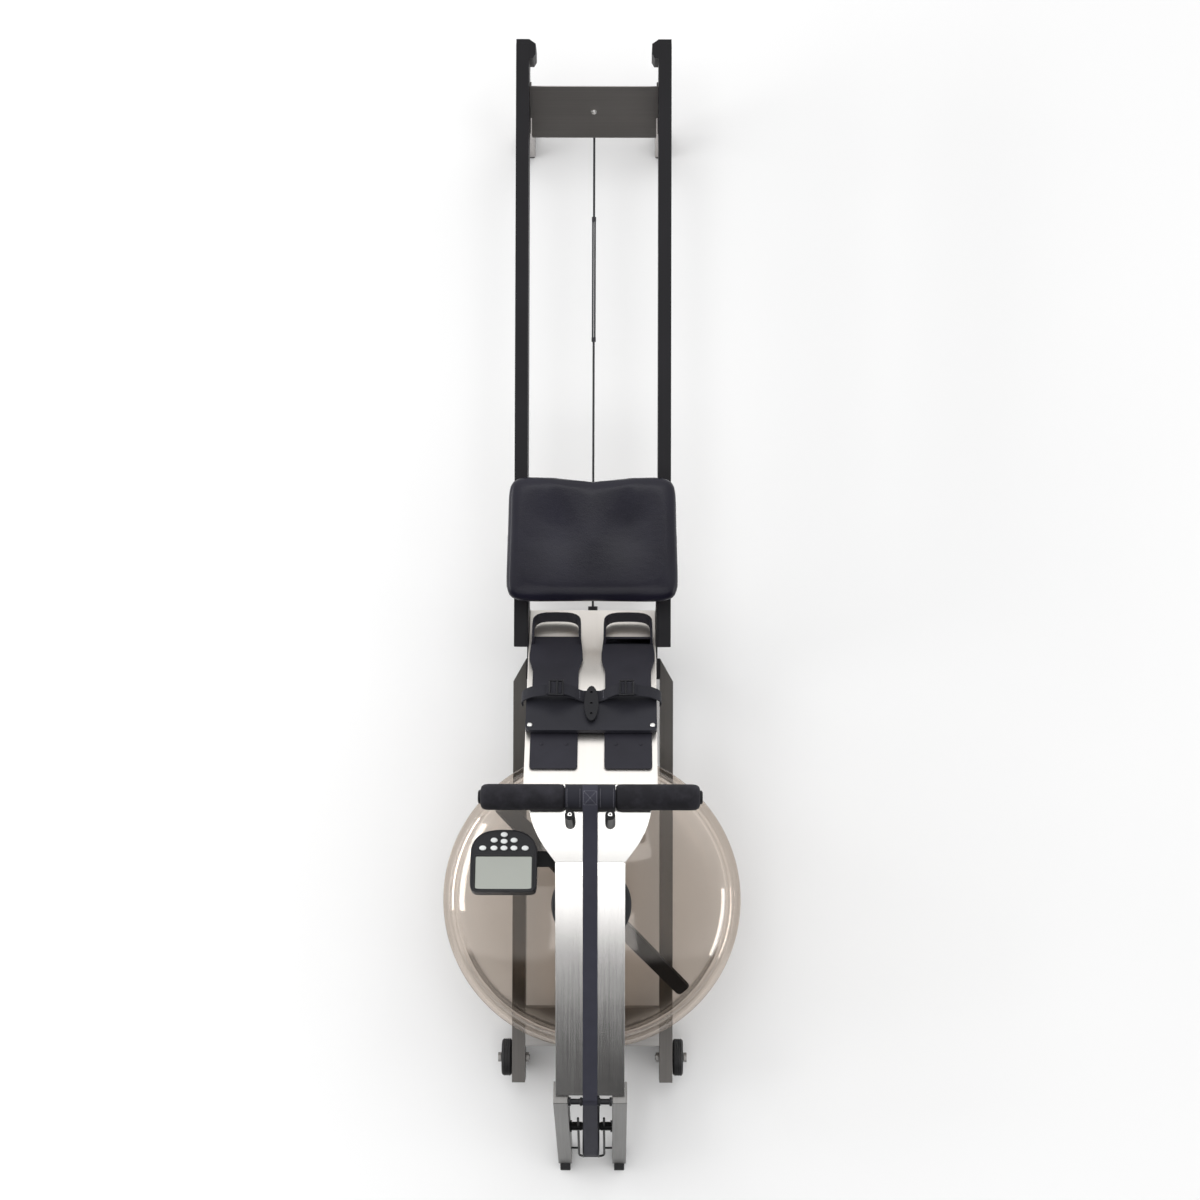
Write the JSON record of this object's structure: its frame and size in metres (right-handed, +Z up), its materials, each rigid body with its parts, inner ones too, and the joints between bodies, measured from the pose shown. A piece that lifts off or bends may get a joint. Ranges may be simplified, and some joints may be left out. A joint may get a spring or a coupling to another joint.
{
  "type": "rowing machine",
  "caption": "Water-resistance rower: steel frame with twin rails, rolling seat, belt-drawn handle, sliding heel rests, tinted round tank and a small monitor.",
  "frame": {"origin": "centre of the overall box, on the floor", "axes": "+Y from the front legs towards the rear stand, where the rower sits; +X to the right seen from above with +Y up the page; +Z up"},
  "size_m": [0.552, 2.135, 0.5488],
  "materials": {
    "black_metal": "satin black powder coat",
    "steel": "brushed",
    "bright_steel": "bright brushed, reflective",
    "black_plastic": "fine matt",
    "rubber": "matt",
    "foam_grip": "closed-cell foam",
    "vinyl": "smooth dark upholstery vinyl",
    "webbing": "woven webbing",
    "plywood": "plain plywood edge",
    "tinted": "clear smoke-tinted polycarbonate",
    "lcd_glass": "display window over a grey-green panel",
    "key_white": "soft matt"
  },
  "bodies": {
    "frame": {"rail_left": "black_metal", "rail_right": "black_metal", "rear_stand": "steel", "side_beam_left": "steel", "side_beam_right": "steel", "front_tie_frame": "steel", "rail_carrier": "black_metal", "footboard": "bright_steel", "top_deck": "bright_steel", "spine": "steel", "front_leg_left": "steel", "front_leg_right": "steel", "front_foot_left": "rubber", "front_foot_right": "rubber", "belt_run": "webbing", "pulley_axle": "black_metal", "tank_lower": "tinted", "tank_upper": "tinted", "hub_housing": "black_plastic", "peg_left": "black_plastic", "peg_right": "black_plastic", "foot_plates": "black_plastic", "foot_crossbar": "black_plastic", "foot_strap": "webbing", "strap_clasp": "black_plastic", "monitor_case": "black_plastic", "monitor_lens": "lcd_glass", "monitor_bracket": "black_metal", "wheel_bolt_left": "steel", "wheel_bolt_right": "steel", "shock_cord": "rubber"},
    "seat": {"seat_pad": "vinyl", "seat_base": "plywood", "seat_bracket_left": "steel", "seat_bracket_right": "steel"},
    "seat_front_axle": {"seat_wheels_front": "black_plastic"},
    "seat_rear_axle": {"seat_wheels_rear": "black_plastic"},
    "handle": {"handle_bar": "black_metal", "grip_left": "foam_grip", "grip_right": "foam_grip", "handle_belt": "webbing"},
    "belt_low_run": {"belt_middle_low": "webbing"},
    "belt_high_run": {"belt_middle_high": "webbing"},
    "upper_roller": {"belt_roller": "black_plastic"},
    "lower_pulley": {"front_pulley": "black_plastic"},
    "drum": {"belt_drum": "black_plastic"},
    "tank_paddle": {"paddle": "black_plastic"},
    "transport_wheel_left": {"wheel_left": "rubber"},
    "transport_wheel_right": {"wheel_right": "rubber"},
    "heel_rest_left": {"heel_left": "black_plastic"},
    "heel_rest_right": {"heel_right": "black_plastic"},
    "key_1": {"button_1": "key_white"},
    "key_2": {"button_2": "key_white"},
    "key_3": {"button_3": "key_white"},
    "key_4": {"button_4": "key_white"},
    "key_5": {"button_5": "key_white"},
    "key_6": {"button_6": "key_white"},
    "key_7": {"button_7": "key_white"},
    "key_8": {"button_8": "key_white"},
    "key_9": {"button_9": "key_white"}
  },
  "joints": [
    {"name": "seat_slide", "type": "slide", "parent": "frame", "child": "seat", "axis": [0, 1, 0], "range_m": [0, 0.78]},
    {"name": "seat_front_roll", "type": "hinge", "parent": "seat", "child": "seat_front_axle", "pos_m": [0, 0.054, 0.2788], "axis": [1, 0, 0], "range_deg": [-2724, 15]},
    {"name": "seat_rear_roll", "type": "hinge", "parent": "seat", "child": "seat_rear_axle", "pos_m": [0, 0.219, 0.2788], "axis": [1, 0, 0], "range_deg": [-2724, 15]},
    {"name": "handle_pull", "type": "slide", "parent": "frame", "child": "handle", "axis": [0, 0.982, 0.1891], "range_m": [0, 1.35], "stiffness_N_per_m": 12, "springref_m": -1},
    {"name": "belt_low_pay_out", "type": "slide", "parent": "frame", "child": "belt_low_run", "axis": [0, 0.982, 0.1891], "range_m": [0, 0.4501]},
    {"name": "belt_high_pay_out", "type": "slide", "parent": "frame", "child": "belt_high_run", "axis": [0, 0.982, 0.1891], "range_m": [0, 0.9001]},
    {"name": "upper_roller_spin", "type": "hinge", "parent": "frame", "child": "upper_roller", "pos_m": [0, -0.8575, 0.4145], "axis": [1, 0, 0], "range_deg": [-10398, 15]},
    {"name": "lower_pulley_spin", "type": "hinge", "parent": "frame", "child": "lower_pulley", "pos_m": [0, -0.938, 0.23], "axis": [1, 0, 0], "range_deg": [-1463, 15]},
    {"name": "drum_spin", "type": "hinge", "parent": "frame", "child": "drum", "pos_m": [0, -0.5255, 0.385], "axis": [0, 0, 1], "range_deg": [-2515, 15]},
    {"name": "paddle_spin", "type": "hinge", "parent": "frame", "child": "tank_paddle", "pos_m": [0, -0.5255, 0.165], "axis": [0, 0, 1], "continuous": true},
    {"name": "transport_wheel_left_spin", "type": "hinge", "parent": "frame", "child": "transport_wheel_left", "pos_m": [-0.164, -0.844, 0.0452], "axis": [1, 0, 0], "continuous": true},
    {"name": "transport_wheel_right_spin", "type": "hinge", "parent": "frame", "child": "transport_wheel_right", "pos_m": [0.164, -0.844, 0.0452], "axis": [1, 0, 0], "continuous": true},
    {"name": "heel_rest_left_slide", "type": "slide", "parent": "frame", "child": "heel_rest_left", "axis": [0, -0.741, 0.6715], "range_m": [0, 0.06]},
    {"name": "heel_rest_right_slide", "type": "slide", "parent": "frame", "child": "heel_rest_right", "axis": [0, -0.741, 0.6715], "range_m": [0, 0.06]},
    {"name": "key_1_press", "type": "slide", "parent": "frame", "child": "key_1", "axis": [0, -0.3429, -0.9394], "range_m": [0, 0.001], "stiffness_N_per_m": 200, "springref_m": -0.0004},
    {"name": "key_2_press", "type": "slide", "parent": "frame", "child": "key_2", "axis": [0, -0.3429, -0.9394], "range_m": [0, 0.001], "stiffness_N_per_m": 200, "springref_m": -0.0004},
    {"name": "key_3_press", "type": "slide", "parent": "frame", "child": "key_3", "axis": [0, -0.3429, -0.9394], "range_m": [0, 0.001], "stiffness_N_per_m": 200, "springref_m": -0.0004},
    {"name": "key_4_press", "type": "slide", "parent": "frame", "child": "key_4", "axis": [0, -0.3429, -0.9394], "range_m": [0, 0.001], "stiffness_N_per_m": 200, "springref_m": -0.0004},
    {"name": "key_5_press", "type": "slide", "parent": "frame", "child": "key_5", "axis": [0, -0.3429, -0.9394], "range_m": [0, 0.001], "stiffness_N_per_m": 200, "springref_m": -0.0004},
    {"name": "key_6_press", "type": "slide", "parent": "frame", "child": "key_6", "axis": [0, -0.3429, -0.9394], "range_m": [0, 0.001], "stiffness_N_per_m": 200, "springref_m": -0.0004},
    {"name": "key_7_press", "type": "slide", "parent": "frame", "child": "key_7", "axis": [0, -0.3429, -0.9394], "range_m": [0, 0.001], "stiffness_N_per_m": 200, "springref_m": -0.0004},
    {"name": "key_8_press", "type": "slide", "parent": "frame", "child": "key_8", "axis": [0, -0.3429, -0.9394], "range_m": [0, 0.001], "stiffness_N_per_m": 200, "springref_m": -0.0004},
    {"name": "key_9_press", "type": "slide", "parent": "frame", "child": "key_9", "axis": [0, -0.3429, -0.9394], "range_m": [0, 0.001], "stiffness_N_per_m": 200, "springref_m": -0.0004}
  ],
  "couplings": [
    {"joint": "seat_front_roll", "follows": "seat_slide", "rad_per_m": -60.606},
    {"joint": "seat_rear_roll", "follows": "seat_slide", "rad_per_m": -60.606},
    {"joint": "belt_low_pay_out", "follows": "handle_pull", "ratio": 0.33333},
    {"joint": "belt_high_pay_out", "follows": "handle_pull", "ratio": 0.66667},
    {"joint": "upper_roller_spin", "follows": "handle_pull", "rad_per_m": -134.23},
    {"joint": "lower_pulley_spin", "follows": "handle_pull", "rad_per_m": -18.709},
    {"joint": "drum_spin", "follows": "handle_pull", "rad_per_m": -32.31}
  ]
}
